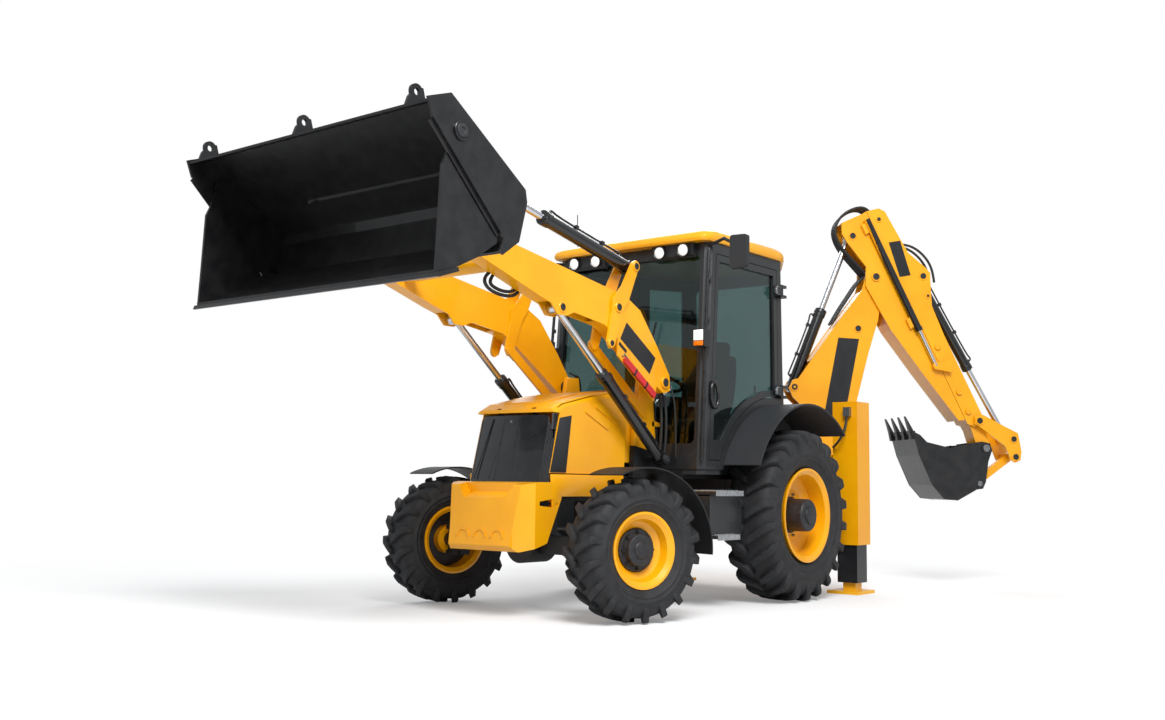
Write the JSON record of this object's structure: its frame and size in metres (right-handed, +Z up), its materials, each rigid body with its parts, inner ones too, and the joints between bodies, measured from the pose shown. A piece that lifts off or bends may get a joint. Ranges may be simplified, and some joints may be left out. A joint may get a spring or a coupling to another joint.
{
  "type": "backhoe loader",
  "caption": "Wheeled backhoe loader: raised clam shovel on twin arms, glazed cab, lowered stabiliser legs and a side-swung backhoe with an extending dipper.",
  "frame": {"origin": "on the ground under the middle of the whole machine's box in the picture's pose", "axes": "+X forward towards the shovel, +Y to the machine's left, +Z up"},
  "size_m": [7.6326, 3.0412, 3.668],
  "materials": {
    "black_paint": "satin black paint",
    "bright_steel": "bright steel",
    "cast_paint": "painted casting",
    "charcoal_paint": "satin charcoal paint",
    "charcoal_plastic": "grained charcoal plastic",
    "chrome_rod": "hard chrome",
    "lamp_plastic": "lamp housing",
    "orange_paint": "deep yellow paint in shade",
    "red_paint": "gloss red paint",
    "seat_fabric": "woven seat cover",
    "tinted_glass": "green tinted glass",
    "tyre_rubber": "matt tyre rubber",
    "yellow_paint": "gloss yellow paint",
    "yellow_plastic": "gloss yellow moulding"
  },
  "bodies": {
    "chassis": {"chassis_frame": "black_paint", "engine_block": "cast_paint", "grille": "charcoal_plastic", "counterweight": "yellow_paint", "front_axle": "black_paint", "rear_axle": "black_paint", "rear_fenders": "charcoal_plastic", "side_tanks": "charcoal_paint", "cab_base": "charcoal_plastic", "cab_frame": "charcoal_paint", "cab_roof": "yellow_plastic", "cab_glass": "tinted_glass", "seat": "seat_fabric", "controls": "charcoal_plastic", "lamps": "lamp_plastic", "mirrors": "charcoal_plastic", "backhoe_frame": "yellow_paint", "carriage": "yellow_paint"},
    "knuckle_left": {"knuckle_left": "black_paint"},
    "knuckle_right": {"knuckle_right": "black_paint"},
    "wheel_front_left": {"front_wheel_left_tyre": "tyre_rubber", "front_wheel_left_rim": "yellow_paint"},
    "wheel_front_right": {"front_wheel_right_tyre": "tyre_rubber", "front_wheel_right_rim": "yellow_paint"},
    "wheel_rear_left": {"rear_wheel_left_tyre": "tyre_rubber", "rear_wheel_left_rim": "yellow_paint"},
    "wheel_rear_right": {"rear_wheel_right_tyre": "tyre_rubber", "rear_wheel_right_rim": "yellow_paint"},
    "bonnet": {"bonnet": "yellow_paint"},
    "door_left": {"door_left": "charcoal_paint", "door_glass_left": "tinted_glass"},
    "door_right": {"door_right": "charcoal_paint", "door_glass_right": "tinted_glass"},
    "arms": {"loader_arms": "yellow_paint", "safety_strut": "red_paint"},
    "levers": {"tipping_levers": "yellow_paint"},
    "links": {"levelling_links": "yellow_paint"},
    "lift_barrels": {"lift_ram_barrels": "charcoal_paint"},
    "lift_rods": {"lift_ram_rods": "chrome_rod"},
    "shovel_barrels": {"shovel_ram_barrels": "charcoal_paint"},
    "shovel_rods": {"shovel_ram_rods": "chrome_rod"},
    "shovel_pins": {"shovel_pins": "bright_steel"},
    "shovel": {"shovel": "charcoal_paint", "shovel_lugs": "charcoal_paint"},
    "clam": {"clam": "charcoal_paint"},
    "stabiliser_left": {"stabiliser_left": "yellow_paint"},
    "stabiliser_right": {"stabiliser_right": "yellow_paint"},
    "slewing_post": {"slewing_post": "yellow_paint"},
    "boom": {"boom": "yellow_paint"},
    "boom_barrel": {"boom_ram_barrel": "charcoal_paint"},
    "boom_rod": {"boom_ram_rod": "chrome_rod"},
    "dipper": {"dipper": "yellow_paint"},
    "dipper_barrel": {"dipper_ram_barrel": "charcoal_paint"},
    "dipper_rod": {"dipper_ram_rod": "chrome_rod"},
    "dipper_slide": {"dipper_slide": "yellow_paint"},
    "bucket_barrel": {"bucket_ram_barrel": "charcoal_paint"},
    "bucket_rod": {"bucket_ram_rod": "chrome_rod"},
    "bucket_lever": {"bucket_lever": "yellow_paint"},
    "bucket_link": {"bucket_link": "orange_paint"},
    "hoe_bucket": {"hoe_bucket": "charcoal_paint"}
  },
  "joints": [
    {"name": "steer_left", "type": "hinge", "parent": "chassis", "child": "knuckle_left", "pos_m": [1.539, 0.495, 0.493], "axis": [0, 0, 1], "range_deg": [-22, 54]},
    {"name": "steer_right", "type": "hinge", "parent": "chassis", "child": "knuckle_right", "pos_m": [1.539, -1.105, 0.493], "axis": [0, 0, 1], "range_deg": [-22.5, 54.5]},
    {"name": "roll_front_left", "type": "hinge", "parent": "knuckle_left", "child": "wheel_front_left", "pos_m": [1.57979, 0.63727, 0.493], "axis": [0.2756, 0.9613, 0], "continuous": true},
    {"name": "roll_front_right", "type": "hinge", "parent": "knuckle_right", "child": "wheel_front_right", "pos_m": [1.49821, -1.24727, 0.493], "axis": [0.2756, 0.9613, 0], "continuous": true},
    {"name": "roll_rear_left", "type": "hinge", "parent": "chassis", "child": "wheel_rear_left", "pos_m": [-0.631, 0.591, 0.702], "axis": [0, 1, 0], "continuous": true},
    {"name": "roll_rear_right", "type": "hinge", "parent": "chassis", "child": "wheel_rear_right", "pos_m": [-0.631, -1.201, 0.702], "axis": [0, 1, 0], "continuous": true},
    {"name": "bonnet_lid", "type": "hinge", "parent": "chassis", "child": "bonnet", "pos_m": [1.741, -0.305, 1.461], "axis": [0, 1, 0], "range_deg": [0, 40]},
    {"name": "door_left_hinge", "type": "hinge", "parent": "chassis", "child": "door_left", "pos_m": [-0.683, 0.517, 1.95], "axis": [0, 0, 1], "range_deg": [0, 80]},
    {"name": "door_right_hinge", "type": "hinge", "parent": "chassis", "child": "door_right", "pos_m": [-0.683, -1.127, 1.95], "axis": [0, 0, -1], "range_deg": [0, 80]},
    {"name": "stabiliser_left_lift", "type": "slide", "parent": "chassis", "child": "stabiliser_left", "axis": [0, 0, 1], "range_m": [0, 0.39]},
    {"name": "stabiliser_right_lift", "type": "slide", "parent": "chassis", "child": "stabiliser_right", "axis": [0, 0, 1], "range_m": [0, 0.39]},
    {"name": "loader_lift", "type": "hinge", "parent": "chassis", "child": "arms", "pos_m": [0.674, -0.305, 1.723], "axis": [0, -1, 0], "range_deg": [-57, 27]},
    {"name": "lever_level", "type": "hinge", "parent": "arms", "child": "levers", "pos_m": [1.296, -0.305, 2.235], "axis": [0, -1, 0], "range_deg": [-22.2, 46.2]},
    {"name": "link_swing", "type": "hinge", "parent": "levers", "child": "links", "pos_m": [1.379, -0.305, 1.96], "axis": [0, -1, 0], "range_deg": [-46.77, 22.47]},
    {"name": "lift_barrel_swing", "type": "hinge", "parent": "chassis", "child": "lift_barrels", "pos_m": [0.638, -0.305, 1.135], "axis": [0, -1, 0], "range_deg": [-46.48, 22.34]},
    {"name": "lift_rod_stroke", "type": "slide", "parent": "lift_barrels", "child": "lift_rods", "axis": [0.7777, 0, 0.6286], "range_m": [-0.49644, 0.23726]},
    {"name": "shovel_barrel_swing", "type": "hinge", "parent": "levers", "child": "shovel_barrels", "pos_m": [1.087, -0.305, 2.569], "axis": [0, -1, 0], "range_deg": [-40.5, 19.5]},
    {"name": "shovel_rod_stroke", "type": "slide", "parent": "shovel_barrels", "child": "shovel_rods", "axis": [0.9779, 0, 0.2091], "range_m": [-0.37488, 0.16719]},
    {"name": "shovel_level", "type": "hinge", "parent": "arms", "child": "shovel_pins", "pos_m": [2.869, -0.305, 2.5], "axis": [0, -1, 0], "range_deg": [-16.8, 34.8]},
    {"name": "shovel_tilt", "type": "hinge", "parent": "shovel_pins", "child": "shovel", "pos_m": [2.869, -0.305, 2.5], "axis": [0, 1, 0], "range_deg": [-50, 22]},
    {"name": "clam_open", "type": "hinge", "parent": "shovel", "child": "clam", "pos_m": [3.554, -0.305, 2.93], "axis": [0, -1, 0], "range_deg": [0, 55]},
    {"name": "slew", "type": "hinge", "parent": "chassis", "child": "slewing_post", "pos_m": [-1.991, -0.305, 0.9], "axis": [0, 0, 1], "range_deg": [-45, 135]},
    {"name": "boom_lift", "type": "hinge", "parent": "slewing_post", "child": "boom", "pos_m": [-2.27384, -0.02216, 0.88], "axis": [0.7071, 0.7071, 0], "range_deg": [-75, 10]},
    {"name": "boom_barrel_swing", "type": "hinge", "parent": "slewing_post", "child": "boom_barrel", "pos_m": [-2.07585, -0.22015, 1.32], "axis": [0.7071, 0.7071, 0], "range_deg": [-74.1, 10.4]},
    {"name": "boom_rod_stroke", "type": "slide", "parent": "boom_barrel", "child": "boom_rod", "axis": [-0.3602, 0.3602, 0.8606], "range_m": [-0.0917, 0.66177]},
    {"name": "dipper_swing", "type": "hinge", "parent": "boom", "child": "dipper", "pos_m": [-2.68184, 0.38584, 2.985], "axis": [-0.7071, -0.7071, 0], "range_deg": [-70, 8]},
    {"name": "dipper_barrel_swing", "type": "hinge", "parent": "boom", "child": "dipper_barrel", "pos_m": [-2.10767, -0.18833, 1.89], "axis": [0.7071, 0.7071, 0], "range_deg": [-1.12, 5.15]},
    {"name": "dipper_rod_stroke", "type": "slide", "parent": "dipper_barrel", "child": "dipper_rod", "axis": [-0.2568, 0.2568, 0.9317], "range_m": [-0.5324, 0.06439]},
    {"name": "dipper_extend", "type": "slide", "parent": "dipper", "child": "dipper_slide", "axis": [-0.306, 0.306, -0.9015], "range_m": [0, 1.1]},
    {"name": "bucket_curl", "type": "hinge", "parent": "dipper_slide", "child": "hoe_bucket", "pos_m": [-3.454, 1.158, 1.328], "axis": [0.7071, 0.7071, 0], "range_deg": [-20, 130]},
    {"name": "bucket_lever_swing", "type": "hinge", "parent": "dipper_slide", "child": "bucket_lever", "pos_m": [-3.39885, 1.10285, 1.593], "axis": [0.7071, 0.7071, 0], "range_deg": [-13.2, 82.5]},
    {"name": "bucket_link_swing", "type": "hinge", "parent": "bucket_lever", "child": "bucket_link", "pos_m": [-3.65341, 1.35741, 1.247], "axis": [0.7071, 0.7071, 0], "range_deg": [-22.7, 4]},
    {"name": "bucket_barrel_swing", "type": "hinge", "parent": "dipper_slide", "child": "bucket_barrel", "pos_m": [-3.02055, 0.72455, 3.006], "axis": [0.7071, 0.7071, 0], "range_deg": [-1.8, 8.4]},
    {"name": "bucket_rod_stroke", "type": "slide", "parent": "bucket_barrel", "child": "bucket_rod", "axis": [-0.3428, 0.3428, -0.8747], "range_m": [-0.4748, 0.07643]}
  ],
  "couplings": [
    {"joint": "steer_right", "follows": "steer_left", "ratio": 1},
    {"joint": "lever_level", "follows": "loader_lift", "ratio": -0.8},
    {"joint": "link_swing", "follows": "loader_lift", "ratio": 0.81},
    {"joint": "lift_barrel_swing", "follows": "loader_lift", "ratio": 0.805},
    {"joint": "lift_rod_stroke", "follows": "loader_lift", "m_per_rad": 0.495},
    {"joint": "shovel_barrel_swing", "follows": "loader_lift", "ratio": 0.7},
    {"joint": "shovel_level", "follows": "loader_lift", "ratio": -0.6},
    {"joint": "shovel_rod_stroke", "follows": "shovel_tilt", "m_per_rad": 0.425},
    {"joint": "boom_barrel_swing", "follows": "boom_lift", "ratio": 0.98},
    {"joint": "boom_rod_stroke", "follows": "boom_lift", "m_per_rad": -0.5025},
    {"joint": "dipper_barrel_swing", "follows": "dipper_swing", "ratio": -0.065},
    {"joint": "dipper_rod_stroke", "follows": "dipper_swing", "m_per_rad": 0.4325},
    {"joint": "bucket_lever_swing", "follows": "bucket_curl", "ratio": 0.63},
    {"joint": "bucket_link_swing", "follows": "bucket_curl", "ratio": -0.17},
    {"joint": "bucket_barrel_swing", "follows": "bucket_curl", "ratio": 0.06},
    {"joint": "bucket_rod_stroke", "follows": "bucket_curl", "m_per_rad": -0.2075}
  ]
}
